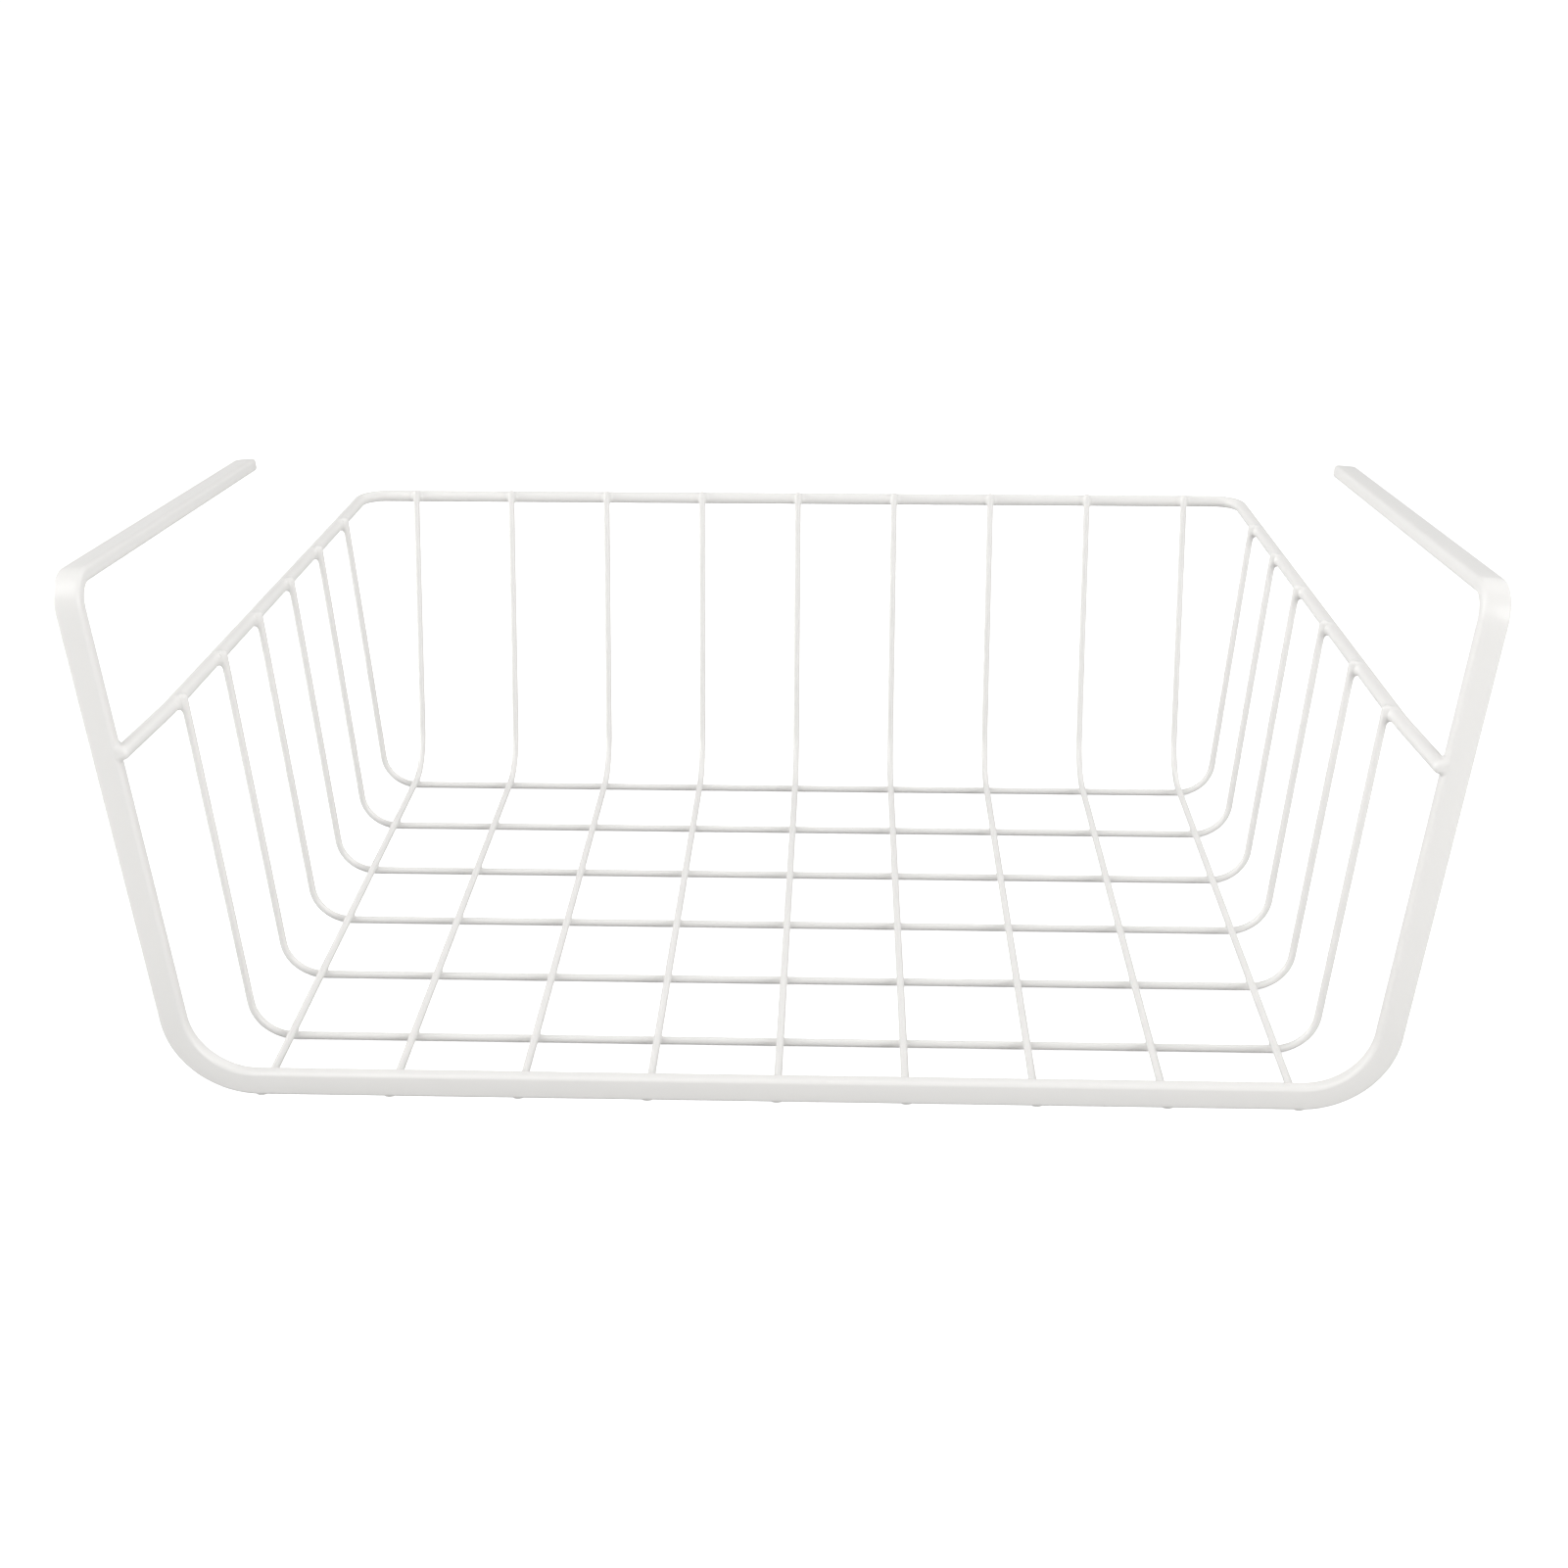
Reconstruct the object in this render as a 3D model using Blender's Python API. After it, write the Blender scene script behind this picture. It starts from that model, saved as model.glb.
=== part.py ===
"""Under shelf basket of welded, white coated steel wire.

A flat bar is bent into an open frame: a bottom run, two legs and two arms that slide over a
shelf. A thick rim wire runs from leg to leg round the back. Lengthwise wires rise at the back
and cross wires rise at both sides, and all of them end inside the rim. Every meeting is a weld,
drawn here as a narrow gap. Metres, +Z up, the open front facing -Y, and the origin under the
middle of the basket at the height of the lowest wires.
"""

import math

import bmesh
import bpy
from mathutils import Vector

MM = 0.001

# Flat bar frame, measured along the bar's centre line between unrounded corners
BAR_WIDTH = 8.0 * MM
BAR_THICKNESS = 4.5 * MM
BAR_EDGE_RADIUS = 1.3 * MM
BAR_END_ROUNDING_SHARE = 0.9
FRAME_BOTTOM_WIDTH = 364.0 * MM
FRAME_TOP_WIDTH = 392.0 * MM
FRAME_HEIGHT = 161.5 * MM
FRAME_CORNER_RADIUS = 24.0 * MM
ARM_BEND_RADIUS = 8.0 * MM
ARM_LENGTH = 170.0 * MM
ARM_DROOP = math.radians(4.3)

# Rim wire
RIM_DIAMETER = 4.5 * MM
BASKET_DEPTH = 285.0 * MM
RIM_BELOW_ARMS = 51.0 * MM
RIM_FALL_TO_BACK = 6.0 * MM
RIM_CORNER_RADIUS = 9.5 * MM
RIM_CORNER_PAST_WIRE = 13.0 * MM
RIM_END_SETBACK = 0.6 * MM

# Mesh of thin wires
WIRE_DIAMETER = 2.5 * MM
LENGTHWISE_WIRES = 9
CROSS_WIRES = 6
BACK_OVERHANG = 45.0 * MM
BACK_BEND_RADIUS = 20.0 * MM
BACK_BEND_LEAD = 2.0 * MM
SIDE_BEND_RADIUS = 13.5 * MM
NOSE_SETBACK = 2.7 * MM
TIP_ABOVE_RIM_CENTRE = 1.8 * MM

# Gap that stands for a weld
WELD_GAP = 0.3 * MM

# Facets
CORNER_STEPS = 10
BEND_STEPS = 8
EDGE_STEPS = 3
ROUND_TIP_STEPS = 3
BAR_END_STEPS = 3
WIRE_BEVEL_RESOLUTION = 4

COATING_COLOUR = (0.86, 0.855, 0.84, 1.0)
COATING_ROUGHNESS = 0.32
SMOOTH_ANGLE = math.radians(40)

# Heights of the layers, from the lowest wires up
wire_radius = WIRE_DIAMETER / 2
rim_radius = RIM_DIAMETER / 2
bar_edge_radius = min(BAR_EDGE_RADIUS, BAR_THICKNESS / 2)
cross_z = wire_radius
lengthwise_z = cross_z + WIRE_DIAMETER + WELD_GAP
bottom_run_z = lengthwise_z + wire_radius + WELD_GAP + BAR_WIDTH / 2
arm_z = bottom_run_z + FRAME_HEIGHT
rim_front_z = arm_z - RIM_BELOW_ARMS
rim_back_z = rim_front_z - RIM_FALL_TO_BACK

# Front to back: the frame's centre plane, the rim's back run and the cross wires between them
front_face_to_rim_back = BAR_THICKNESS / 2 + BASKET_DEPTH + rim_radius
frame_y = (BAR_THICKNESS - front_face_to_rim_back) / 2
rim_back_y = frame_y + BASKET_DEPTH
cross_pitch = (BASKET_DEPTH - BACK_OVERHANG) / CROSS_WIRES
last_cross_y = frame_y + CROSS_WIRES * cross_pitch

# Side to side: the legs lean outward, and the outermost lengthwise wires meet the bottom run
# where its corners begin
leg_lean = math.atan2((FRAME_TOP_WIDTH - FRAME_BOTTOM_WIDTH) / 2, FRAME_HEIGHT)
corner_turn = math.pi / 2 - leg_lean
outer_wire_x = FRAME_BOTTOM_WIDTH / 2 - FRAME_CORNER_RADIUS * math.tan(corner_turn / 2)
lengthwise_pitch = 2 * outer_wire_x / (LENGTHWISE_WIRES - 1)
rim_back_x = outer_wire_x + RIM_CORNER_PAST_WIRE + RIM_CORNER_RADIUS
leg_x_at_rim = FRAME_BOTTOM_WIDTH / 2 + (rim_front_z - bottom_run_z) * math.tan(leg_lean)
rim_front_x = leg_x_at_rim - (BAR_WIDTH / 2 + WELD_GAP + rim_radius) / math.cos(leg_lean)


def clear_scene():
    for obj in list(bpy.data.objects):
        bpy.data.objects.remove(obj, do_unlink=True)


def coating(name):
    """White coating, a little warm and fairly glossy."""
    material = bpy.data.materials.new(name)
    material.use_nodes = True
    material.diffuse_color = COATING_COLOUR
    shader = material.node_tree.nodes["Principled BSDF"]
    shader.inputs["Base Color"].default_value = COATING_COLOUR
    shader.inputs["Roughness"].default_value = COATING_ROUGHNESS
    shader.inputs["Metallic"].default_value = 0.0
    return material


def rounded_path(corners, radii, steps):
    """Points and travel directions along a polyline whose inner corners are arcs."""
    points = [corners[0]]
    directions = [(corners[1] - corners[0]).normalized()]
    for before, corner, after, radius in zip(corners, corners[1:], corners[2:], radii):
        inward = (corner - before).normalized()
        outward = (after - corner).normalized()
        turn = inward.angle(outward)
        start = corner - inward * radius * math.tan(turn / 2)
        to_centre = (outward - inward * inward.dot(outward)).normalized()
        for step in range(steps + 1):
            angle = turn * step / steps
            points.append(
                start + radius * (inward * math.sin(angle) + to_centre * (1 - math.cos(angle)))
            )
            directions.append(inward * math.cos(angle) + to_centre * math.sin(angle))
    points.append(corners[-1])
    directions.append(directions[-1].copy())
    return points, directions


def round_tip(tip, direction, radius):
    """Points and shares of the wire's radius that close a wire with a rounded end."""
    angles = [math.pi / 2 * step / (ROUND_TIP_STEPS + 1) for step in range(ROUND_TIP_STEPS + 1)]
    points = [tip - direction * radius * (1 - math.sin(angle)) for angle in angles]
    radius_shares = [math.cos(angle) for angle in angles]
    return points, radius_shares


def wire(name, corners, bend_radii, radius, steps, material):
    """Round wire bent at its inner corners, with both of its ends rounded."""
    bent, directions = rounded_path(corners, bend_radii, steps)
    first_points, first_shares = round_tip(bent[0], -directions[0], radius)
    last_points, last_shares = round_tip(bent[-1], directions[-1], radius)
    middle = bent[1:-1]
    points = first_points[::-1] + middle + last_points
    radius_shares = first_shares[::-1] + [1.0] * len(middle) + last_shares
    curve = bpy.data.curves.new(name, "CURVE")
    curve.dimensions = "3D"
    curve.bevel_depth = radius
    curve.bevel_resolution = WIRE_BEVEL_RESOLUTION
    curve.use_fill_caps = True
    spline = curve.splines.new("POLY")
    spline.points.add(len(points) - 1)
    for target, point, share in zip(spline.points, points, radius_shares):
        target.co = (*point, 1.0)
        target.radius = share
    spline.use_smooth = True
    curve.materials.append(material)
    obj = bpy.data.objects.new(name, curve)
    bpy.context.collection.objects.link(obj)
    return obj


def bar_section(inset):
    """Outline of the flat bar as (across, through) pairs, drawn in by the inset."""
    outline = []
    for quarter, (side, face) in enumerate([(1, 1), (-1, 1), (-1, -1), (1, -1)]):
        across = side * (BAR_WIDTH / 2 - bar_edge_radius)
        through = face * (BAR_THICKNESS / 2 - bar_edge_radius)
        for step in range(EDGE_STEPS + 1):
            angle = math.pi / 2 * (quarter + step / EDGE_STEPS)
            reach = bar_edge_radius - inset
            outline.append((across + reach * math.cos(angle), through + reach * math.sin(angle)))
    return outline


def bar_end(end, inward):
    """Points and insets that round the bar off over its last stretch, from the end inward."""
    radius = bar_edge_radius * BAR_END_ROUNDING_SHARE
    stations = []
    for step in range(BAR_END_STEPS + 1):
        angle = math.pi / 2 * step / BAR_END_STEPS
        depth = radius * (1 - math.cos(angle))
        stations.append((end + inward * depth, radius * (1 - math.sin(angle))))
    return stations


def swept_bar(name, points, directions, across, material):
    """Flat bar carried along the points without twist, its ends rounded and closed."""
    first = bar_end(points[0], directions[0])
    last = bar_end(points[-1], -directions[-1])[::-1]
    stations = first + [(point, 0) for point in points[1:-1]] + last
    travels = [directions[0]] * len(first) + directions[1:-1] + [directions[-1]] * len(last)
    across = across.copy()
    before = travels[0]
    mesh = bmesh.new()
    rings = []
    for (centre, inset), direction in zip(stations, travels):
        across.rotate(before.rotation_difference(direction))
        before = direction
        through = direction.cross(across)
        ring = [mesh.verts.new(centre + across * u + through * v) for u, v in bar_section(inset)]
        rings.append(ring)
    for ring, following in zip(rings, rings[1:]):
        for index in range(len(ring)):
            mesh.faces.new(
                (ring[index - 1], ring[index], following[index], following[index - 1])
            )
    mesh.faces.new(rings[0][::-1])
    mesh.faces.new(rings[-1])
    bmesh.ops.recalc_face_normals(mesh, faces=mesh.faces[:])
    data = bpy.data.meshes.new(name)
    mesh.to_mesh(data)
    mesh.free()
    data.shade_smooth()
    data.set_sharp_from_angle(angle=SMOOTH_ANGLE)
    data.materials.append(material)
    obj = bpy.data.objects.new(name, data)
    bpy.context.collection.objects.link(obj)
    return obj


def mirrored(half):
    """The corners of one side, from its free end inward, followed by those of the other side."""
    return half + [Vector((-corner.x, corner.y, corner.z)) for corner in half[::-1]]


def front_frame(material):
    """Arms bend on the flat at the top of the legs, which bend on edge into the bottom run."""
    leg_up = Vector((math.sin(leg_lean), 0, math.cos(leg_lean)))
    leg_across = Vector((math.cos(leg_lean), 0, -math.sin(leg_lean)))
    arm_direction = Vector((0, math.cos(ARM_DROOP), 0)) - leg_up * math.sin(ARM_DROOP)
    top_corner = Vector((FRAME_TOP_WIDTH / 2, frame_y, arm_z))
    bottom_corner = Vector((FRAME_BOTTOM_WIDTH / 2, frame_y, bottom_run_z))
    arm_end = top_corner + arm_direction * ARM_LENGTH
    corners = mirrored([arm_end, top_corner, bottom_corner])
    radii = [ARM_BEND_RADIUS, FRAME_CORNER_RADIUS, FRAME_CORNER_RADIUS, ARM_BEND_RADIUS]
    points, directions = rounded_path(corners, radii, CORNER_STEPS)
    return swept_bar("front_frame", points, directions, leg_across, material)


def rim_side_at(y):
    """Distance from the middle and height of the rim's side runs, which taper towards the back."""
    back_share = (y - frame_y) / BASKET_DEPTH
    x = rim_front_x + (rim_back_x - rim_front_x) * back_share
    return x, rim_front_z - RIM_FALL_TO_BACK * back_share


def rim_wire(material):
    """Open loop whose front ends lie along the legs' inner faces."""
    end_y = frame_y - BAR_THICKNESS / 2 + RIM_END_SETBACK
    end_x, end_z = rim_side_at(end_y)
    back_corner = Vector((rim_back_x, rim_back_y, rim_back_z))
    corners = mirrored([Vector((end_x, end_y, end_z)), back_corner])
    radii = [RIM_CORNER_RADIUS, RIM_CORNER_RADIUS]
    return wire("rim_wire", corners, radii, rim_radius, CORNER_STEPS, material)


def upright(bend_start, floor_z, bend_radius, rim_out, rim_z):
    """Corner and tip, as (outward, height) pairs, of a wire that turns up off the floor.

    The straight stretch is tangent to the bend and passes inside the rim, a weld away.
    """
    spacing = rim_radius + wire_radius + WELD_GAP
    out = rim_out - bend_start
    up = rim_z - floor_z - bend_radius
    turn = math.atan2(up, out) + math.asin((bend_radius + spacing) / math.hypot(out, up))
    corner = (bend_start + bend_radius * math.tan(turn / 2), floor_z)
    tip = (
        rim_out - spacing * math.sin(turn) + TIP_ABOVE_RIM_CENTRE * math.cos(turn),
        rim_z + spacing * math.cos(turn) + TIP_ABOVE_RIM_CENTRE * math.sin(turn),
    )
    return corner, tip


def lengthwise_wires(material):
    """Wires that start under the bottom run, lie on the cross wires and rise at the back."""
    nose_y = frame_y - BAR_THICKNESS / 2 + NOSE_SETBACK
    bend_start = last_cross_y - BACK_BEND_LEAD
    corner, tip = upright(bend_start, lengthwise_z, BACK_BEND_RADIUS, rim_back_y, rim_back_z)
    for index in range(LENGTHWISE_WIRES):
        x = index * lengthwise_pitch - outer_wire_x
        corners = [
            Vector((x, nose_y, lengthwise_z)),
            Vector((x, *corner)),
            Vector((x, *tip)),
        ]
        name = f"lengthwise_wire_{index + 1}"
        wire(name, corners, [BACK_BEND_RADIUS], wire_radius, BEND_STEPS, material)


def cross_wires(material):
    """Wires under the lengthwise ones, which rise at both sides to the rim's side runs."""
    for index in range(CROSS_WIRES):
        y = frame_y + (index + 1) * cross_pitch
        rim_x, rim_z = rim_side_at(y)
        corner, tip = upright(outer_wire_x, cross_z, SIDE_BEND_RADIUS, rim_x, rim_z)
        corners = mirrored([Vector((tip[0], y, tip[1])), Vector((corner[0], y, corner[1]))])
        radii = [SIDE_BEND_RADIUS, SIDE_BEND_RADIUS]
        wire(f"cross_wire_{index + 1}", corners, radii, wire_radius, BEND_STEPS, material)


clear_scene()
front_frame(coating("flat_bar_coating"))
rim_wire(coating("rim_coating"))
lengthwise_wires(coating("lengthwise_wire_coating"))
cross_wires(coating("cross_wire_coating"))
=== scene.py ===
"""Looks of the under shelf basket: bare steel bar and wire, welded, then coated white.

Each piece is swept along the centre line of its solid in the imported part, with a finer skin. At
each weld the wires' skins are pushed out to fill the corner, as the coating leaves them. As in the
photograph, the rim's ends bend out to the legs, the wires' tips are set into the rim, and their
front ends are pressed flat under the bar. Metres, +Z up, the open front facing -Y.
"""

import math
from collections import namedtuple

import bmesh
import bpy
import numpy as np
from mathutils import Matrix, Vector


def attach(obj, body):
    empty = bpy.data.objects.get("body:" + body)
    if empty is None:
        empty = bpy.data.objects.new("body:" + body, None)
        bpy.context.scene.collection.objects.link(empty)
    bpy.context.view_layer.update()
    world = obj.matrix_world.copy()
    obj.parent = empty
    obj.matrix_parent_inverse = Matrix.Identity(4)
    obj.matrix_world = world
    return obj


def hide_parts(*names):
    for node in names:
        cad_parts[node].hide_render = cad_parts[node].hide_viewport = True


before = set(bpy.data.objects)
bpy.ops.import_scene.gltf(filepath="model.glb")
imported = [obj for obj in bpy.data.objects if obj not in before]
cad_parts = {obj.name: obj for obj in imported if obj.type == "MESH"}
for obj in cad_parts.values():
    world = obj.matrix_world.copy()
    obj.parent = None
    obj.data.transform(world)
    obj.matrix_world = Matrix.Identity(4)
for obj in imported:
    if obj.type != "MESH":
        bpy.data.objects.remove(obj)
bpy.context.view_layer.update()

# Front frame. One length of flat steel bar, rolled with rounded edges, that makes both arms,
# both legs and the bottom run. It is bent on edge at the lower corners and on the flat at the
# upper ones, and its ends are cut square and deburred.

MM = 0.001
BAR_WIDTH = 8.0 * MM
BAR_THICKNESS = 4.5 * MM
BAR_EDGE_RADIUS = 1.3 * MM
BAR_END_ROUNDING = 1.17 * MM
BAR_SKIN_INSIDE = 0.03 * MM
BOTTOM_WIDTH = 364.0 * MM
TOP_WIDTH = 392.0 * MM
FRAME_HEIGHT = 161.5 * MM
BOTTOM_CORNER_RADIUS = 24.0 * MM
ARM_BEND_RADIUS = 8.0 * MM
ARM_LENGTH = 170.0 * MM
ARM_DROOP = math.radians(4.3)
BASKET_DEPTH = 285.0 * MM
RIM_RADIUS = 2.25 * MM
WIRE_RADIUS = 1.25 * MM
WELD_GAP = 0.3 * MM
BAR_PEEL_SIZE = 2.6 * MM
BAR_PEEL_DEPTH = 0.030 * MM
BEND_STEP = math.radians(3)
STRAIGHT_STEP = 6.0 * MM
PROBE_STEP = 0.5 * MM
BAR_RING_STEP = 1.0 * MM
CROWDED_SHARE = 0.6
EDGE_STEPS = 6
END_STEPS = 6

# The floor's two layers of wire lie under the bottom run, and the depth is centred on the origin
CROSS_Z = WIRE_RADIUS
LENGTHWISE_Z = CROSS_Z + 2 * WIRE_RADIUS + WELD_GAP
BOTTOM_RUN_Z = LENGTHWISE_Z + WIRE_RADIUS + WELD_GAP + BAR_WIDTH / 2
FRAME_Y = (BAR_THICKNESS / 2 - BASKET_DEPTH - RIM_RADIUS) / 2
BAR_FRONT_Y = FRAME_Y - BAR_THICKNESS / 2
LEG_LEAN = math.atan2((TOP_WIDTH - BOTTOM_WIDTH) / 2, FRAME_HEIGHT)
LEG_UP = Vector((math.sin(LEG_LEAN), 0, math.cos(LEG_LEAN)))
LEG_ACROSS = Vector((math.cos(LEG_LEAN), 0, -math.sin(LEG_LEAN)))

# Sockets of a colour Mix node, by number because its other sockets share their names
MIX_SHARE = 0
MIX_FIRST = 6
MIX_SECOND = 7
MIX_RESULT = 2


class Signal:
    """One output of a shader node. Plain sums on it add Math nodes."""

    def __init__(self, tree, socket=None):
        self.tree = tree
        self.socket = socket

    def node(self, kind, output, settings, inputs):
        """Adds a node, sets it up, fills its inputs with values or links, and returns an output."""
        added = self.tree.nodes.new(kind)
        for name, value in settings.items():
            setattr(added, name, value)
        for name, value in inputs.items():
            if isinstance(value, Signal):
                self.tree.links.new(value.socket, added.inputs[name])
            else:
                added.inputs[name].default_value = value
        return Signal(self.tree, added.outputs[output]) if added.outputs else None

    def maths(self, operation, first, second):
        return self.node("ShaderNodeMath", 0, {"operation": operation}, {0: first, 1: second})

    def __add__(self, other):
        return self.maths("ADD", self, other)

    def __radd__(self, other):
        return self.maths("ADD", other, self)

    def __sub__(self, other):
        return self.maths("SUBTRACT", self, other)

    def __rsub__(self, other):
        return self.maths("SUBTRACT", other, self)

    def __mul__(self, other):
        return self.maths("MULTIPLY", self, other)

    def __rmul__(self, other):
        return self.maths("MULTIPLY", other, self)

    def __abs__(self):
        return self.maths("ABSOLUTE", self, 0.0)

    def clamped(self):
        return self.node("ShaderNodeClamp", 0, {}, {"Value": self})

    def between(self, first, second):
        """Colour from the first to the second as this number goes from 0 to 1."""
        sockets = {MIX_SHARE: self, MIX_FIRST: first, MIX_SECOND: second}
        return self.node("ShaderNodeMix", MIX_RESULT, {"data_type": "RGBA"}, sockets)


COATING_COOL = (0.852, 0.844, 0.826, 1)
COATING_WARM = (0.876, 0.862, 0.836, 1)
POOLED_COATING = (0.830, 0.819, 0.797, 1)
POOLED_TINT = 0.6
SPECK_GREY = (0.52, 0.50, 0.46, 1)
SPECK_TINT = 0.35
SPECK_RISE = 0.4
SPECK_SPACING = 60.0 * MM
SPECK_RADIUS = 0.4 * MM
DRIFT_SIZE = 42.0 * MM
CLOUD_SIZE = 9.0 * MM
GRAIN_SIZE = 0.45 * MM
DRIFT_SHARE = 0.7
CLOUD_SHARE = 0.3
GRAIN_RISE = 0.10
NOISE_MEAN = 0.5
COATING_ROUGHNESS = 0.36
CLOUD_ROUGHENS = 0.10
DRIFT_ROUGHENS = 0.05
POOLING_SMOOTHS = 0.03
COATING_IOR = 1.5
GLAZE_WEIGHT = 0.25
GLAZE_ROUGHNESS = 0.12


def coating(name, peel_size, peel_depth):
    """White coating: faint drift of tone, orange peel, rare specks, and smoother where it pools."""
    material = bpy.data.materials.new(name)
    material.use_nodes = True
    material.node_tree.nodes.clear()
    start = Signal(material.node_tree)
    place = start.node("ShaderNodeTexCoord", "Object", {}, {})

    def noise(size, detail, roughness):
        sockets = {"Vector": place, "Scale": 1 / size, "Detail": detail, "Roughness": roughness}
        return start.node("ShaderNodeTexNoise", 0, {}, sockets)

    drift = noise(DRIFT_SIZE, detail=2.0, roughness=0.5)
    cloud = noise(CLOUD_SIZE, detail=3.0, roughness=0.6)
    peel = noise(peel_size, detail=1.5, roughness=0.45)
    grain = noise(GRAIN_SIZE, detail=1.0, roughness=0.5)
    pooled = start.node("ShaderNodeAttribute", "Fac", {"attribute_name": "pooled"}, {})
    cell_sockets = {"Vector": place, "Scale": 1 / SPECK_SPACING}
    cells = start.node("ShaderNodeTexVoronoi", "Distance", {}, cell_sockets)
    speck = (1 - cells * (SPECK_SPACING / SPECK_RADIUS)).clamped()

    tone = drift * DRIFT_SHARE + cloud * CLOUD_SHARE
    colour = tone.between(COATING_COOL, COATING_WARM)
    colour = (pooled * POOLED_TINT).between(colour, POOLED_COATING)
    colour = (speck * SPECK_TINT).between(colour, SPECK_GREY)
    roughness = COATING_ROUGHNESS + (cloud - NOISE_MEAN) * CLOUD_ROUGHENS
    roughness += (drift - NOISE_MEAN) * DRIFT_ROUGHENS - pooled * POOLING_SMOOTHS
    height = peel * (1 - pooled) + grain * GRAIN_RISE + speck * SPECK_RISE
    relief_sockets = {"Strength": 1.0, "Distance": peel_depth, "Height": height}
    relief = start.node("ShaderNodeBump", 0, {}, relief_sockets)
    surface_sockets = {
        "Base Color": colour,
        "Roughness": roughness,
        "Normal": relief,
        "IOR": COATING_IOR,
        "Coat Weight": GLAZE_WEIGHT,
        "Coat Roughness": GLAZE_ROUGHNESS,
    }
    surface = start.node("ShaderNodeBsdfPrincipled", 0, {}, surface_sockets)
    start.node("ShaderNodeOutputMaterial", None, {}, {"Surface": surface})
    return material


Stretch = namedtuple("Stretch", ["length", "start", "direction", "to_middle", "radius"])


def bent_line(corners, bend_radii):
    """Centre line as a list of straight and bent stretches. The straight ones have no radius."""
    stretches = []
    here = corners[0]
    for before, corner, after, radius in zip(corners, corners[1:], corners[2:], bend_radii):
        inward = (corner - before).normalized()
        outward = (after - corner).normalized()
        turn = inward.angle(outward)
        start = corner - inward * radius * math.tan(turn / 2)
        to_middle = (outward - inward * inward.dot(outward)).normalized()
        stretches.append(Stretch((start - here).length, here, inward, None, None))
        stretches.append(Stretch(radius * turn, start, inward, to_middle, radius))
        here = corner + outward * radius * math.tan(turn / 2)
    last = corners[-1] - here
    stretches.append(Stretch(last.length, here, last.normalized(), None, None))
    return stretches


def length_of(stretches):
    return sum(stretch.length for stretch in stretches)


def place_on(stretches, distance):
    """Point and direction at a distance along the line."""
    ahead = list(stretches)
    while len(ahead) > 1 and distance > ahead[0].length:
        distance -= ahead.pop(0).length
    here = ahead[0]
    if here.radius is None:
        return here.start + here.direction * distance, here.direction.copy()
    angle = distance / here.radius
    rise = here.to_middle * (1 - math.cos(angle)) + here.direction * math.sin(angle)
    direction = here.direction * math.cos(angle) + here.to_middle * math.sin(angle)
    return here.start + rise * here.radius, direction


def stations(stretches, closest, welds=(), weld_reach=0.0):
    """Distances along the line: even on straights and bends, and close together near welds."""
    total = length_of(stretches)
    wanted = [0.0, total]
    done = 0.0
    for stretch in stretches:
        step = STRAIGHT_STEP if stretch.radius is None else stretch.radius * BEND_STEP
        count = max(1, round(stretch.length / step))
        wanted += [done + stretch.length * index / count for index in range(count + 1)]
        done += stretch.length
    probes = np.linspace(0, total, int(total / PROBE_STEP) + 1)
    along = np.array([place_on(stretches, probe)[0] for probe in probes])
    for weld_point in welds:
        nearest = probes[np.argmin(np.linalg.norm(along - np.array(weld_point), axis=1))]
        count = round(weld_reach / closest)
        wanted += [nearest + closest * index for index in range(-count, count + 1)]
    kept = []
    for distance in sorted(min(max(0.0, value), total) for value in wanted):
        if not kept or distance - kept[-1] > closest * CROWDED_SHARE:
            kept.append(distance)
    kept[-1] = total
    return kept


def mirrored(half):
    """Corners of the right side, from its free end inward, followed by those of the left side."""
    return half + [Vector((-corner.x, corner.y, corner.z)) for corner in half[::-1]]


def sleeve(mesh, rings):
    """Faces that join each ring of vertices to the next."""
    for ring, following in zip(rings, rings[1:]):
        for index in range(len(ring)):
            mesh.faces.new((ring[index - 1], ring[index], following[index], following[index - 1]))


def coated_piece(name, mesh, material):
    """Object made from a closed mesh, smooth and coated."""
    bmesh.ops.recalc_face_normals(mesh, faces=mesh.faces[:])
    data = bpy.data.meshes.new(name)
    mesh.to_mesh(data)
    mesh.free()
    data.shade_smooth()
    data.materials.append(material)
    piece = bpy.data.objects.new(name, data)
    bpy.context.scene.collection.objects.link(piece)
    return piece


def bar_outline(inset):
    """Rounded rectangle of the bar as (across, through) pairs, drawn in by the inset."""
    outline = []
    reach = BAR_EDGE_RADIUS - BAR_SKIN_INSIDE - inset
    for quarter, (side, face) in enumerate([(1, 1), (-1, 1), (-1, -1), (1, -1)]):
        across = side * (BAR_WIDTH / 2 - BAR_EDGE_RADIUS)
        through = face * (BAR_THICKNESS / 2 - BAR_EDGE_RADIUS)
        for step in range(EDGE_STEPS + 1):
            angle = math.pi / 2 * (quarter + step / EDGE_STEPS)
            outline.append((across + reach * math.cos(angle), through + reach * math.sin(angle)))
    return outline


def bar_cuts(stretches):
    """Where the bar's rings lie, as (distance, inset) pairs: inset only on its rounded ends."""
    length = length_of(stretches)
    first_end = []
    for step in range(END_STEPS + 1):
        angle = math.pi / 2 * step / END_STEPS
        distance = BAR_END_ROUNDING * (1 - math.cos(angle))
        first_end.append((distance, BAR_END_ROUNDING * (1 - math.sin(angle))))
    last_end = [(length - distance, inset) for distance, inset in first_end[::-1]]
    between_ends = [
        (distance, 0)
        for distance in stations(stretches, BAR_RING_STEP)
        if BAR_END_ROUNDING < distance < length - BAR_END_ROUNDING
    ]
    return first_end + between_ends + last_end


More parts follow.
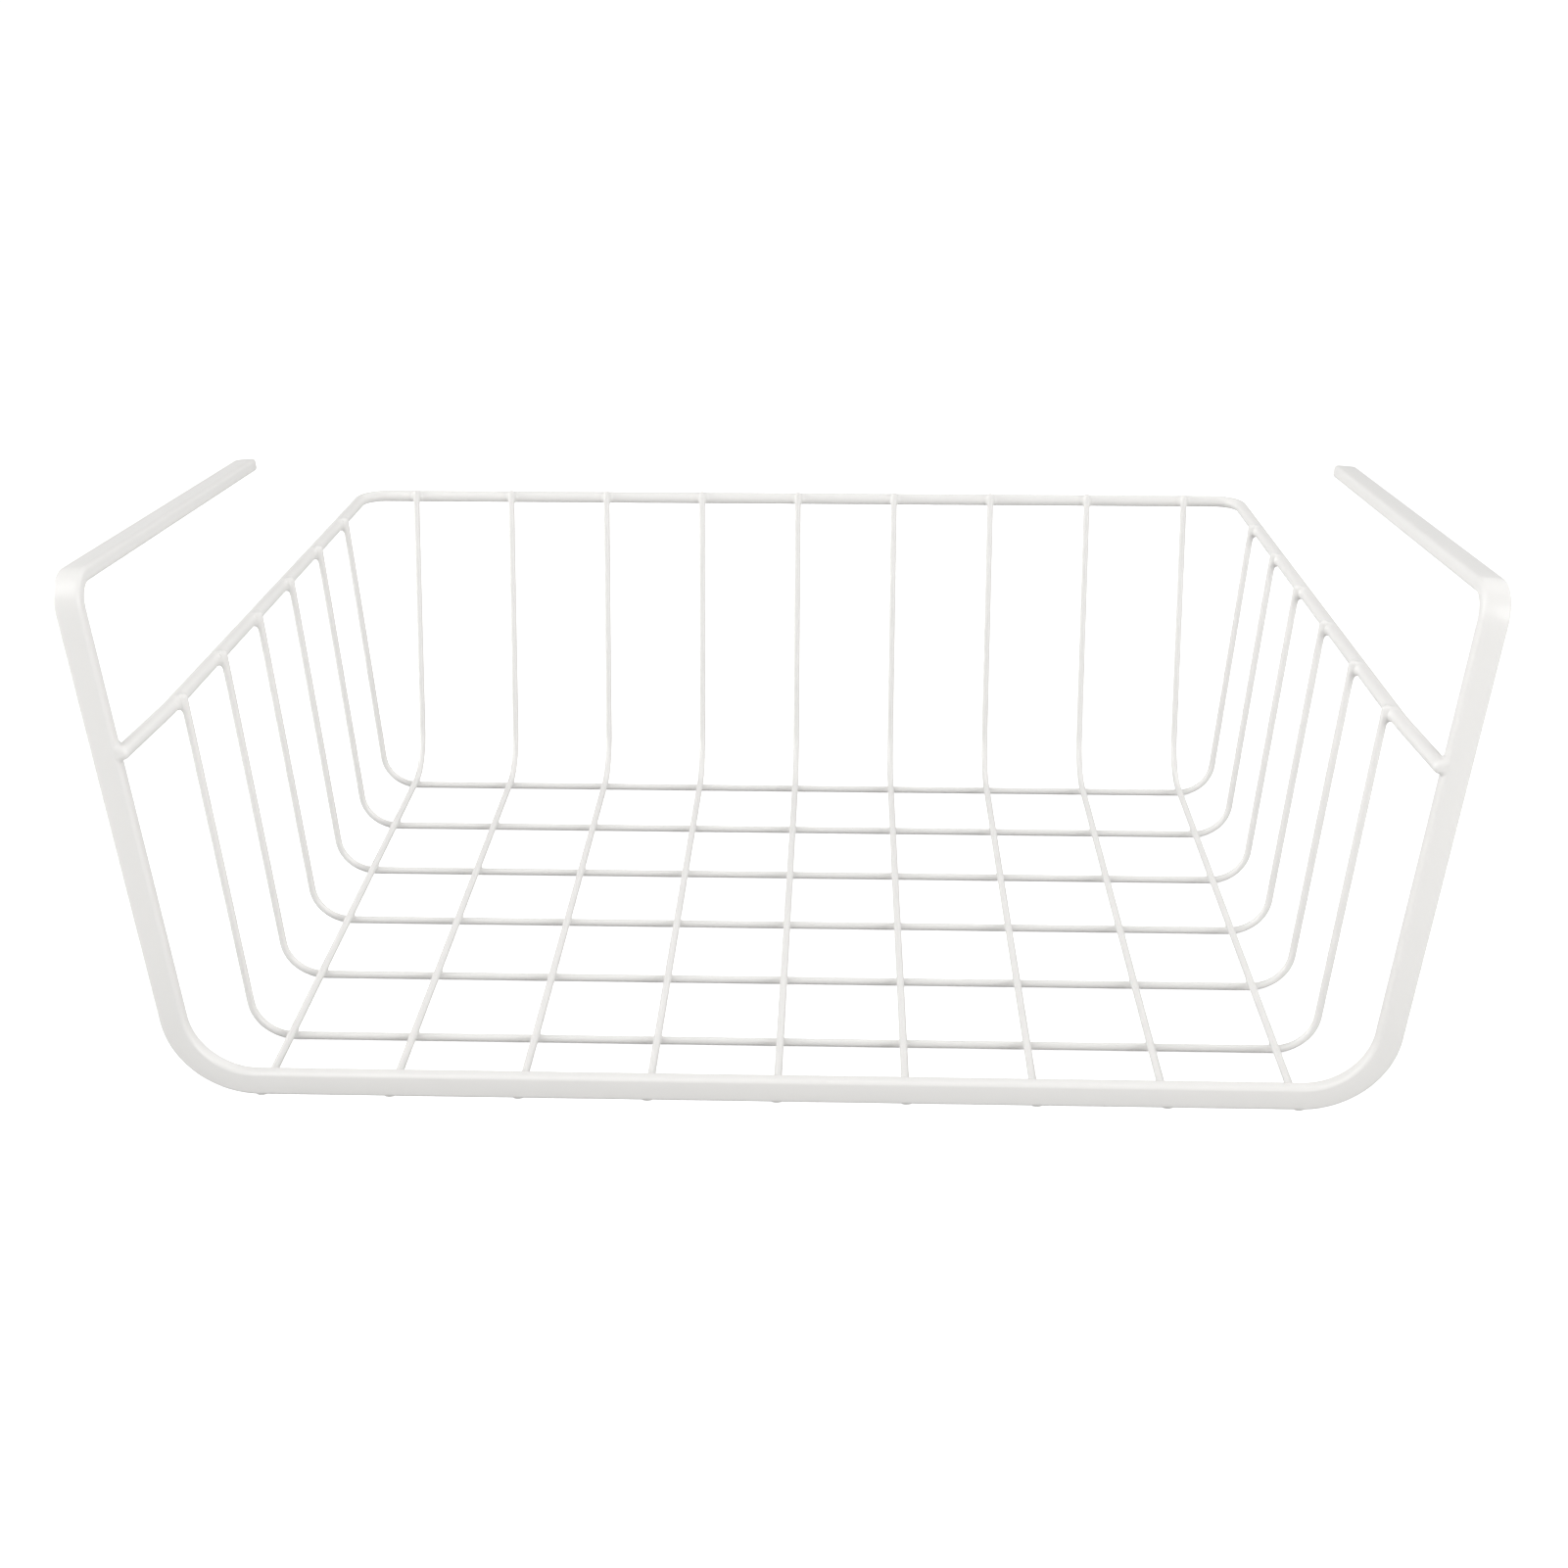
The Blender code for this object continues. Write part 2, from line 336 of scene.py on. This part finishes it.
arm_direction = Vector((0, math.cos(ARM_DROOP), 0)) - LEG_UP * math.sin(ARM_DROOP)
top_corner = Vector((TOP_WIDTH / 2, FRAME_Y, BOTTOM_RUN_Z + FRAME_HEIGHT))
bottom_corner = Vector((BOTTOM_WIDTH / 2, FRAME_Y, BOTTOM_RUN_Z))
bar_line = bent_line(
    mirrored([top_corner + arm_direction * ARM_LENGTH, top_corner, bottom_corner]),
    [ARM_BEND_RADIUS, BOTTOM_CORNER_RADIUS, BOTTOM_CORNER_RADIUS, ARM_BEND_RADIUS],
)
bar_mesh = bmesh.new()
bar_rings = []
across = LEG_ACROSS.copy()
before = bar_line[0].direction
for distance, inset in bar_cuts(bar_line):
    centre, direction = place_on(bar_line, distance)
    across.rotate(before.rotation_difference(direction))
    before = direction
    through = direction.cross(across)
    points = [centre + across * wide + through * thick for wide, thick in bar_outline(inset)]
    bar_rings.append([bar_mesh.verts.new(point) for point in points])
sleeve(bar_mesh, bar_rings)
bar_mesh.faces.new(bar_rings[0][::-1])
bar_mesh.faces.new(bar_rings[-1])
bar_coating = coating("bar_coating", BAR_PEEL_SIZE, BAR_PEEL_DEPTH)
bar = coated_piece("coated_bar_frame", bar_mesh, bar_coating)
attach(bar, "root")
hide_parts("front_frame")

# Rim wire. One length of thick round wire bent to a U that tapers a little towards the back.
# Its two ends bend out over their last stretch and are welded to the inner edges of the legs.

RIM_BELOW_ARMS = 51.0 * MM
RIM_FALL_TO_BACK = 6.0 * MM
RIM_CORNER_RADIUS = 9.5 * MM
RIM_CORNER_PAST_WIRE = 13.0 * MM
RIM_END_SETBACK = 0.15 * MM
RIM_END_ROUNDING = 1.7 * MM
RIM_KNEE_SETBACK = 36.75 * MM
RIM_KNEE_RADIUS = 160.0 * MM
RIM_ENDS_OUT = 1.9 * MM
RIM_PEEL_SIZE = 2.2 * MM
RIM_PEEL_DEPTH = 0.026 * MM
RIM_SIDES = 64
LENGTHWISE_WIRES = 9
CROSS_WIRES = 6
BACK_OVERHANG = 45.0 * MM
WELD_REACH = 4.8 * MM
WELD_STEP = 0.4 * MM
TIP_STEPS = 8

# The outermost lengthwise wires meet the bottom run where its corners begin
OUTER_WIRE_X = BOTTOM_WIDTH / 2 - BOTTOM_CORNER_RADIUS * math.tan((math.pi / 2 - LEG_LEAN) / 2)
LENGTHWISE_PITCH = 2 * OUTER_WIRE_X / (LENGTHWISE_WIRES - 1)
LENGTHWISE_WIRE_XS = [row * LENGTHWISE_PITCH - OUTER_WIRE_X for row in range(LENGTHWISE_WIRES)]
CROSS_PITCH = (BASKET_DEPTH - BACK_OVERHANG) / CROSS_WIRES
CROSS_WIRE_YS = [FRAME_Y + (row + 1) * CROSS_PITCH for row in range(CROSS_WIRES)]
RIM_FRONT_Z = BOTTOM_RUN_Z + FRAME_HEIGHT - RIM_BELOW_ARMS
RIM_BACK_Z = RIM_FRONT_Z - RIM_FALL_TO_BACK
RIM_BACK_Y = FRAME_Y + BASKET_DEPTH
RIM_BACK_X = OUTER_WIRE_X + RIM_CORNER_PAST_WIRE + RIM_CORNER_RADIUS
LEG_X_AT_RIM = BOTTOM_WIDTH / 2 + (RIM_FRONT_Z - BOTTOM_RUN_Z) * math.tan(LEG_LEAN)
RIM_FRONT_X = LEG_X_AT_RIM - (BAR_WIDTH / 2 + WELD_GAP + RIM_RADIUS) / math.cos(LEG_LEAN)


def rim_side_at(y):
    """Distance from the middle and height of the rim's side runs."""
    share = (y - FRAME_Y) / BASKET_DEPTH
    x = RIM_FRONT_X + (RIM_BACK_X - RIM_FRONT_X) * share
    return x, RIM_FRONT_Z + (RIM_BACK_Z - RIM_FRONT_Z) * share


def wire(name, corners, bend_radii, radius, end_roundings, sides, welds, material):
    """Round wire, with what its welds need: its centre line and the spokes under its skin.

    Each point of the skin stands on a spoke, at the spoke's reach from its root. The spokes lie
    square to the wire, and at the two ends they tilt outward over the rounding of the tip.
    """
    line = bent_line(corners, bend_radii)
    total = length_of(line)
    first_rounding, last_rounding = end_roundings
    tilts = [math.pi / 2 * step / TIP_STEPS for step in range(TIP_STEPS)]
    cuts = [(first_rounding, first_rounding, -tilt) for tilt in tilts[:0:-1]]
    cuts.append((first_rounding, radius, 0.0))
    cuts += [
        (distance, radius, 0.0)
        for distance in stations(line, WELD_STEP, welds, WELD_REACH)
        if first_rounding < distance < total - last_rounding
    ]
    cuts.append((total - last_rounding, radius, 0.0))
    cuts += [(total - last_rounding, last_rounding, tilt) for tilt in tilts[1:]]

    first_end, first_direction = place_on(line, first_rounding)
    last_end, last_direction = place_on(line, total - last_rounding)
    across = (corners[1] - corners[0]).cross(corners[2] - corners[1]).normalized()
    roots = [first_end]
    spokes = [-first_direction]
    reaches = [first_rounding]
    for distance, reach, tilt in cuts:
        centre, direction = place_on(line, distance)
        other = direction.cross(across)
        for side in range(sides):
            turn = math.tau * side / sides
            spoke = across * math.cos(turn) + other * math.sin(turn)
            roots.append(centre + spoke * (radius - reach))
            spokes.append(spoke * math.cos(tilt) + direction * math.sin(tilt))
            reaches.append(reach)
    roots.append(last_end)
    spokes.append(last_direction)
    reaches.append(last_rounding)

    mesh = bmesh.new()
    for root, spoke, reach in zip(roots, spokes, reaches):
        mesh.verts.new(root + spoke * reach)
    first_tip, *skin, last_tip = mesh.verts
    rings = [skin[start:start + sides] for start in range(0, len(skin), sides)]
    for index in range(sides):
        mesh.faces.new((first_tip, rings[0][index], rings[0][index - 1]))
        mesh.faces.new((rings[-1][index - 1], rings[-1][index], last_tip))
    sleeve(mesh, rings)
    return {
        "piece": coated_piece(name, mesh, material),
        "radius": radius,
        "roots": np.array(roots),
        "spokes": np.array(spokes),
        "reach": np.array(reaches),
        "pooled": np.zeros(len(roots)),
        "line": np.array([place_on(line, distance)[0] for distance, _, tilt in cuts if tilt == 0]),
    }


rim_end_y = BAR_FRONT_Y + RIM_END_SETBACK
rim_end_x, rim_end_z = rim_side_at(rim_end_y)
rim_end_x += RIM_ENDS_OUT
rim_end = Vector((rim_end_x, rim_end_y, rim_end_z))
rim_knee_y = BAR_FRONT_Y + RIM_KNEE_SETBACK
rim_knee_x, rim_knee_z = rim_side_at(rim_knee_y)
rim_knee = Vector((rim_knee_x, rim_knee_y, rim_knee_z))
rim_corner = Vector((RIM_BACK_X, RIM_BACK_Y, RIM_BACK_Z))
rim_welds = [(x, RIM_BACK_Y, RIM_BACK_Z) for x in LENGTHWISE_WIRE_XS]
for side in (-1, 1):
    rim_welds.append((side * rim_end_x, FRAME_Y, rim_end_z))
    for y in CROSS_WIRE_YS:
        rim_x, rim_z = rim_side_at(y)
        rim_welds.append((side * rim_x, y, rim_z))
rim_coating = coating("rim_wire_coating", RIM_PEEL_SIZE, RIM_PEEL_DEPTH)
rim = wire(
    "coated_rim_wire",
    mirrored([rim_end, rim_knee, rim_corner]),
    [RIM_KNEE_RADIUS, RIM_CORNER_RADIUS, RIM_CORNER_RADIUS, RIM_KNEE_RADIUS],
    RIM_RADIUS,
    (RIM_END_ROUNDING, RIM_END_ROUNDING),
    RIM_SIDES,
    rim_welds,
    rim_coating,
)
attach(rim["piece"], "root")
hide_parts("rim_wire")

# Cross wires. Six thin round wires, the lowest layer of the floor. Each turns up at both sides,
# and its two tips are set a little into the inside of the rim, where they are welded.

WIRE_PEEL_SIZE = 1.7 * MM
WIRE_PEEL_DEPTH = 0.020 * MM
WIRE_SIDES = 24
SIDE_BEND_RADIUS = 13.5 * MM
SET_IN = 0.4 * MM
TIP_ABOVE_RIM_CENTRE = 2.7 * MM


def upright(bend_start, floor_z, bend_radius, rim_out, rim_z):
    """Corner and tip, as (outward, height) pairs, of a wire that rises to the rim's inside."""
    spacing = RIM_RADIUS + WIRE_RADIUS - SET_IN
    out = rim_out - bend_start
    up = rim_z - floor_z - bend_radius
    turn = math.atan2(up, out) + math.asin((bend_radius + spacing) / math.hypot(out, up))
    corner = (bend_start + bend_radius * math.tan(turn / 2), floor_z)
    tip = (
        rim_out - spacing * math.sin(turn) + TIP_ABOVE_RIM_CENTRE * math.cos(turn),
        rim_z + spacing * math.cos(turn) + TIP_ABOVE_RIM_CENTRE * math.sin(turn),
    )
    return corner, tip


thin_coating = coating("thin_wire_coating", WIRE_PEEL_SIZE, WIRE_PEEL_DEPTH)
cross_wires = []
for number, y in enumerate(CROSS_WIRE_YS, 1):
    rim_x, rim_z = rim_side_at(y)
    corner, tip = upright(OUTER_WIRE_X, CROSS_Z, SIDE_BEND_RADIUS, rim_x, rim_z)
    welds = [(x, y, CROSS_Z) for x in LENGTHWISE_WIRE_XS]
    welds += [(-rim_x, y, rim_z), (rim_x, y, rim_z)]
    made = wire(
        f"coated_cross_wire_{number}",
        mirrored([Vector((tip[0], y, tip[1])), Vector((corner[0], y, corner[1]))]),
        [SIDE_BEND_RADIUS, SIDE_BEND_RADIUS],
        WIRE_RADIUS,
        (WIRE_RADIUS, WIRE_RADIUS),
        WIRE_SIDES,
        welds,
        thin_coating,
    )
    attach(made["piece"], "root")
    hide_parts(f"cross_wire_{number}")
    cross_wires.append(made)

# Lengthwise wires. Nine thin round wires that lie on the cross wires. Their front ends are
# welded under the bottom run of the frame, and each turns up at the back and ends inside the rim.

NOSE_SETBACK = 2.7 * MM
NOSE_ROUNDING = 0.5 * MM
BACK_BEND_LEAD = 2.0 * MM
BACK_BEND_RADIUS = 20.0 * MM

lengthwise_wires = []
nose_y = BAR_FRONT_Y + NOSE_SETBACK
bend_start = CROSS_WIRE_YS[-1] - BACK_BEND_LEAD
corner, tip = upright(bend_start, LENGTHWISE_Z, BACK_BEND_RADIUS, RIM_BACK_Y, RIM_BACK_Z)
for number, x in enumerate(LENGTHWISE_WIRE_XS, 1):
    welds = [(x, y, LENGTHWISE_Z) for y in [FRAME_Y, *CROSS_WIRE_YS]]
    welds.append((x, RIM_BACK_Y, RIM_BACK_Z))
    made = wire(
        f"coated_lengthwise_wire_{number}",
        [Vector((x, nose_y, LENGTHWISE_Z)), Vector((x, *corner)), Vector((x, *tip))],
        [BACK_BEND_RADIUS],
        WIRE_RADIUS,
        (NOSE_ROUNDING, WIRE_RADIUS),
        WIRE_SIDES,
        welds,
        thin_coating,
    )
    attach(made["piece"], "root")
    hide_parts(f"lengthwise_wire_{number}")
    lengthwise_wires.append(made)

# Welds. Wires are spot welded where they cross and where they meet the rim and the bar, and the
# coating fills the corners. Each wire's skin is pushed out along its spokes to one blended
# surface, and the front ends of the lengthwise wires are pressed flat where they show.

FILLET = 1.5 * MM
RIM_FILLET = 2.3 * MM
LEG_FILLET = 1.4 * MM
SHARED = 0.1 * MM
PUSHES = 26
PUSH_SHARE = 0.7
LONGEST_PUSH = 4.0 * MM
PAST_SOFTNESS = 0.8 * MM
WELD_SINK = 0.15 * MM
WELD_BITE = 0.12 * MM
WELD_SIGHT = 16.0 * MM
LEG_WELD_SETBACK = 0.07 * MM
POOL_REACH = 3.0 * MM
PRESSED_FROM_SETBACK = 7.95 * MM
PRESSED_FULLY_SETBACK = 4.95 * MM
PRESSED_THINNER = 0.44
PRESSED_WIDER = 0.6


def distance_to_line(points, line):
    """Distance from each point to a polyline."""
    starts = line[:-1]
    runs = line[1:] - starts
    away = points[:, None] - starts
    share = np.clip((away * runs).sum(2) / (runs**2).sum(1), 0, 1)
    return np.linalg.norm(away - runs * share[..., None], axis=2).min(1)


def rounded_distance(first, second, rounding):
    """Distance to a shape bounded by two faces at right angles, with the edge between rounded."""
    outside = np.hypot(np.maximum(first, 0), np.maximum(second, 0))
    return outside + np.minimum(np.maximum(first, second), 0) - rounding


def around(made, joint):
    """The distance function of the part of a wire that is near a joint."""
    line = made["line"]
    line = line[np.linalg.norm(line - np.array(joint), axis=1) < WELD_SIGHT]

    def gap(points):
        return distance_to_line(points, line) - made["radius"]

    return gap


def bar_face(middle, across, side):
    """The distance function of a straight stretch of the bar, a bite under its skin."""

    def gap(points):
        away = points * (side, 1, 1) - np.array(middle)
        wide = np.abs(away @ np.array(across)) - (BAR_WIDTH / 2 - BAR_EDGE_RADIUS)
        thick = np.abs(away[:, 1]) - (BAR_THICKNESS / 2 - BAR_EDGE_RADIUS)
        return WELD_BITE + rounded_distance(wide, thick, BAR_EDGE_RADIUS)

    return gap


def rim_end_skin(side):
    """The distance function of the rim's last stretch on one side, a rod with a deburred end."""
    outward = np.array((rim_end - rim_knee).normalized())

    def gap(points):
        away = points * (side, 1, 1) - np.array(rim_end)
        beyond = away @ outward
        aside = np.linalg.norm(away - beyond[:, None] * outward, axis=1)
        aside -= RIM_RADIUS - RIM_END_ROUNDING
        beyond += RIM_END_ROUNDING
        return rounded_distance(aside, beyond, RIM_END_ROUNDING)

    return gap


def blended(first, second, fillet):
    """Distance to two shapes joined by a fillet."""
    near = np.maximum(fillet - np.abs(first - second), 0) / fillet
    return np.minimum(first, second) - near**2 * fillet / 4


def past_middle(own_gap, other_gap):
    """How far a point is past the middle between two wires, with a small overlap allowed."""
    return own_gap - other_gap - SHARED


def past_face(own_gap, other_gap):
    """How far a point is inside the bar, past the small depth that the weld may sink."""
    return -WELD_SINK - other_gap


def weld(made, joint, own, neighbour, fillet, past, front=-math.inf):
    """Pushes one wire's skin out to the surface that it shares with its neighbour.

    The skin is held back where it would go past its own share of the weld, or past the front.
    """
    near = np.linalg.norm(made["roots"] - np.array(joint), axis=1) < WELD_REACH + fillet
    roots = made["roots"][near]
    spokes = made["spokes"][near]
    least = made["reach"][near]
    reach = least.copy()
    for _ in range(PUSHES):
        points = roots + spokes * reach[:, None]
        own_gap = own(points)
        other_gap = neighbour(points)
        too_far = np.maximum(past(own_gap, other_gap), 0)
        skin = blended(own_gap, other_gap, fillet) + too_far**2 / PAST_SOFTNESS
        skin = np.maximum(skin, front - points[:, 1])
        reach = np.clip(reach - skin * PUSH_SHARE, least, least + LONGEST_PUSH)
    made["reach"][near] = reach
    gap = np.maximum(neighbour(roots + spokes * reach[:, None]), 0)
    pooled = np.clip(1 - gap / POOL_REACH, 0, 1) ** 2
    made["pooled"][near] = np.maximum(made["pooled"][near], pooled)


def weld_both(first, second, joint, fillet):
    """Pushes the skins of two wires out to the surface that they share."""
    first_gap = around(first, joint)
    second_gap = around(second, joint)
    weld(first, joint, first_gap, second_gap, fillet, past_middle)
    weld(second, joint, second_gap, first_gap, fillet, past_middle)


for cross, y in zip(cross_wires, CROSS_WIRE_YS):
    for lengthwise, x in zip(lengthwise_wires, LENGTHWISE_WIRE_XS):
        weld_both(cross, lengthwise, (x, y, (CROSS_Z + LENGTHWISE_Z) / 2), FILLET)
    rim_x, rim_z = rim_side_at(y)
    for side in (-1, 1):
        weld_both(cross, rim, (side * rim_x, y, rim_z), RIM_FILLET)
bottom_run = bar_face((0, FRAME_Y, BOTTOM_RUN_Z), (0, 0, 1), 1)
for lengthwise, x in zip(lengthwise_wires, LENGTHWISE_WIRE_XS):
    weld_both(lengthwise, rim, (x, RIM_BACK_Y, RIM_BACK_Z), RIM_FILLET)
    nose = (x, FRAME_Y, LENGTHWISE_Z)
    weld(lengthwise, nose, around(lengthwise, nose), bottom_run, FILLET, past_face)
for side in (-1, 1):
    rim_weld = (side * rim_end_x, FRAME_Y, rim_end_z)
    leg = bar_face(bottom_corner, LEG_ACROSS, side)
    weld_front = BAR_FRONT_Y + LEG_WELD_SETBACK
    weld(rim, rim_weld, rim_end_skin(side), leg, LEG_FILLET, past_face, weld_front)

welded_wires = [rim, *cross_wires, *lengthwise_wires]
for made in welded_wires:
    made["skin"] = made["roots"] + made["spokes"] * made["reach"][:, None]
bar_underside = BOTTOM_RUN_Z - BAR_WIDTH / 2
for made, x in zip(lengthwise_wires, LENGTHWISE_WIRE_XS):
    skin = made["skin"]
    setback = skin[:, 1] - BAR_FRONT_Y
    pressed = (PRESSED_FROM_SETBACK - setback) / (PRESSED_FROM_SETBACK - PRESSED_FULLY_SETBACK)
    pressed = np.clip(pressed, 0, 1)
    pressed = pressed**2 * (3 - 2 * pressed)
    below = np.maximum(bar_underside - skin[:, 2], 0)
    skin[:, 2] += below * pressed * PRESSED_THINNER
    skin[:, 0] += (skin[:, 0] - x) * pressed * PRESSED_WIDER
for made in welded_wires:
    data = made["piece"].data
    data.vertices.foreach_set("co", made["skin"].astype(np.float32).ravel())
    data.update()
    pooled = data.attributes.new("pooled", "FLOAT", "POINT")
    pooled.data.foreach_set("value", made["pooled"].astype(np.float32))

# Studio. A plain white floor and backdrop, an even pale surround that is brightest at the
# horizon, three soft boxes to the left and in front, and a broad weak light from behind. The
# floor that is seen is whiter than the floor that throws light up at the basket, and a darker sheet
# under and around the basket stands in for the basket's own shade on that floor: painted shade.

STUDIO_REACH = 12.0
SEEN_FLOOR_WHITE = 0.95
SEEN_FLOOR_GLOW = 0.5
BACKDROP_GLOW = 1.0
BOUNCE_FLOOR_GREY = 0.60
BOUNCE_FLOOR_Z = -0.3 * MM
# Painted shade: a darker sheet on the floor round the basket, hidden from the camera, stands in for
# the basket's own shadow and darkens the light thrown up at it
SHADE_SHEET_GREY = 0.42
SHADE_SHEET_Z = -0.2 * MM
SHADE_SHEET_LOW = (-250.0 * MM, -210.0 * MM)
SHADE_SHEET_HIGH = (250.0 * MM, 200.0 * MM)
PAINT_ROUGHNESS = 0.9
WHITE = (1, 1, 1, 1)
SURROUND = 0.415
HORIZON = 0.622
HORIZON_FADE = 4.5
BOX_SIZE = 1.8
BOX_DISTANCE = 2.7
BOX_TARGET = Vector((0, 0, 80.0 * MM))
BACK_LIGHT_SPREAD = math.radians(70)


def staged(name, corners, faces, grey, glow):
    """One plain surface of the studio."""
    mesh = bpy.data.meshes.new(name)
    mesh.from_pydata(corners, [], faces)
    paint = bpy.data.materials.new(name + "_paint")
    paint.use_nodes = True
    shader = paint.node_tree.nodes["Principled BSDF"]
    shader.inputs["Base Color"].default_value = (grey, grey, grey, 1)
    shader.inputs["Roughness"].default_value = PAINT_ROUGHNESS
    shader.inputs["Emission Color"].default_value = WHITE
    shader.inputs["Emission Strength"].default_value = glow
    mesh.materials.append(paint)
    stood = bpy.data.objects.new(name, mesh)
    bpy.context.scene.collection.objects.link(stood)
    return stood


def rectangle(low, high, z):
    """Four corners of a level rectangle, in order round it."""
    sides = [(low[0], low[1]), (high[0], low[1]), (high[0], high[1]), (low[0], high[1])]
    return [(x, y, z) for x, y in sides]


def seen_only(surface):
    """Hides a surface from the light that falls on the basket."""
    surface.visible_diffuse = False
    surface.visible_glossy = False
    surface.visible_shadow = False


studio_low = (-STUDIO_REACH, -STUDIO_REACH)
studio_high = (STUDIO_REACH, STUDIO_REACH)
floor_edge = rectangle(studio_low, studio_high, 0.0)
ceiling_edge = rectangle(studio_low, studio_high, STUDIO_REACH)
bounce_edge = rectangle(studio_low, studio_high, BOUNCE_FLOOR_Z)
shade_sheet_edge = rectangle(SHADE_SHEET_LOW, SHADE_SHEET_HIGH, SHADE_SHEET_Z)
one_face = [(0, 1, 2, 3)]
walls_and_ceiling = [(0, 1, 5, 4), (1, 2, 6, 5), (2, 3, 7, 6), (3, 0, 4, 7), (4, 5, 6, 7)]
seen_only(staged("pale_floor", floor_edge, one_face, SEEN_FLOOR_WHITE, SEEN_FLOOR_GLOW))
seen_only(staged("pale_backdrop", floor_edge + ceiling_edge, walls_and_ceiling, 0, BACKDROP_GLOW))
staged("bounce_floor", bounce_edge, one_face, BOUNCE_FLOOR_GREY, 0.0).visible_camera = False
# Painted shade: a darker sheet, unseen by the camera, where the floor round the basket lies in the
# basket's own shade
staged("shade_sheet", shade_sheet_edge, one_face, SHADE_SHEET_GREY, 0.0).visible_camera = False


def lamp(name, kind, azimuth, elevation, strength):
    """Light aimed at the basket from a direction given in degrees."""
    azimuth = math.radians(azimuth)
    elevation = math.radians(elevation)
    level = math.cos(elevation)
    towards = Vector((level * math.cos(azimuth), level * math.sin(azimuth), math.sin(elevation)))
    light = bpy.data.lights.new(name, kind)
    light.energy = strength
    hung = bpy.data.objects.new(name, light)
    bpy.context.scene.collection.objects.link(hung)
    hung.location = BOX_TARGET + towards * BOX_DISTANCE
    hung.rotation_euler = (-towards).to_track_quat("-Z", "Y").to_euler()
    hung.visible_camera = False
    return light


soft_boxes = [
    lamp("left_box", "AREA", azimuth=180, elevation=15, strength=43.0),
    lamp("front_right_box", "AREA", azimuth=315, elevation=15, strength=34.1),
    lamp("front_left_box", "AREA", azimuth=225, elevation=50, strength=18.4),
]
for box in soft_boxes:
    box.size = BOX_SIZE
back_light = lamp("back_light", "SUN", azimuth=45, elevation=45, strength=0.807)
back_light.angle = BACK_LIGHT_SPREAD

world = bpy.data.worlds.new("pale_surround")
world.use_nodes = True
sky = Signal(world.node_tree)
sight = sky.node("ShaderNodeTexCoord", "Generated", {}, {})
rise = sky.node("ShaderNodeSeparateXYZ", "Z", {}, {"Vector": sight})
near_horizon = (1 - abs(rise) * HORIZON_FADE).clamped()
brightness = SURROUND + near_horizon * (HORIZON - SURROUND)
background = world.node_tree.nodes["Background"]
background.inputs["Color"].default_value = WHITE
world.node_tree.links.new(brightness.socket, background.inputs["Strength"])
bpy.context.scene.world = world
bpy.context.scene.view_settings.view_transform = "Standard"

# Camera, where the photograph was taken from: in front of the basket, a little to its right,
# and above it, looking down at its floor.

CAMERA_PLACE = Vector((0.01781, -0.64576, 0.34070))
CAMERA_YAW = -0.0304
CAMERA_PITCH = 0.4260
CAMERA_ROLL = 0.0019
CAMERA_LENS_MM = 44.52
CAMERA_FILM_MM = 36
NEAREST_SEEN = 0.01
FARTHEST_SEEN = 100

heading = Vector((math.sin(CAMERA_YAW), math.cos(CAMERA_YAW), 0))
ahead = heading * math.cos(CAMERA_PITCH) - Vector((0, 0, math.sin(CAMERA_PITCH)))
level = Vector((math.cos(CAMERA_YAW), -math.sin(CAMERA_YAW), 0))
down = ahead.cross(level)
right = level * math.cos(CAMERA_ROLL) + down * math.sin(CAMERA_ROLL)
down = down * math.cos(CAMERA_ROLL) - level * math.sin(CAMERA_ROLL)
facing = Matrix((right, -down, -ahead)).transposed().to_4x4()
camera_data = bpy.data.cameras.new("camera")
camera_data.lens = CAMERA_LENS_MM
camera_data.sensor_width = CAMERA_FILM_MM
camera_data.clip_start = NEAREST_SEEN
camera_data.clip_end = FARTHEST_SEEN
camera = bpy.data.objects.new("camera", camera_data)
bpy.context.scene.collection.objects.link(camera)
camera.matrix_world = Matrix.Translation(CAMERA_PLACE) @ facing
bpy.context.scene.camera = camera
